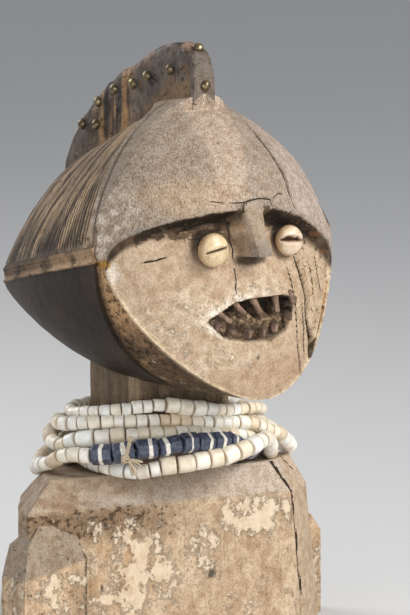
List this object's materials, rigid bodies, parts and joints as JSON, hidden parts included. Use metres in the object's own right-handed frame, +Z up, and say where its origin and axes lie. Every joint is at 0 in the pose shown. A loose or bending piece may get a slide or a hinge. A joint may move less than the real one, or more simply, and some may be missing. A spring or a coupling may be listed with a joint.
{
  "type": "ancestor figure bust",
  "caption": "Carved wooden ancestor figure cut flat below the chest, with a crested head, shell eyes, peg teeth and strands of glass beads round the neck",
  "frame": {"origin": "on the flat underside, below the middle of the neck", "axes": "+Z up, the chest faces -Y, the figure's right side is towards -X"},
  "size_m": [0.236, 0.2173, 0.3575],
  "materials": {
    "wood": "weathered, with pale clay and dark patina",
    "shell": "worn glossy shell",
    "brass": "dark tarnished",
    "peg": "dark matt wood",
    "white_glass": "opaque ivory glass",
    "blue_glass": "opaque dark blue glass with white bands"
  },
  "bodies": {
    "root": {"figure": "wood", "cowrie_right": "shell", "cowrie_left": "shell", "tack_right_1": "brass", "tack_right_2": "brass", "tack_right_3": "brass", "tack_right_4": "brass", "tack_right_5": "brass", "tack_right_6": "brass", "tack_right_7": "brass", "tack_left_1": "brass", "tack_left_2": "brass", "tack_left_3": "brass", "tack_left_4": "brass", "tack_left_5": "brass", "tack_front": "brass", "tack_top": "brass", "tack_back": "brass", "peg_upper_1": "peg", "peg_upper_2": "peg", "peg_upper_3": "peg", "peg_upper_4": "peg", "peg_upper_5": "peg", "peg_lower_1": "peg", "peg_lower_2": "peg", "peg_lower_3": "peg", "peg_lower_4": "peg", "peg_lower_5": "peg", "peg_lower_6": "peg", "beads_top": "white_glass", "beads_second": "white_glass", "beads_third": "white_glass", "beads_blue": "blue_glass", "beads_lower": "white_glass"}
  },
  "joints": []
}
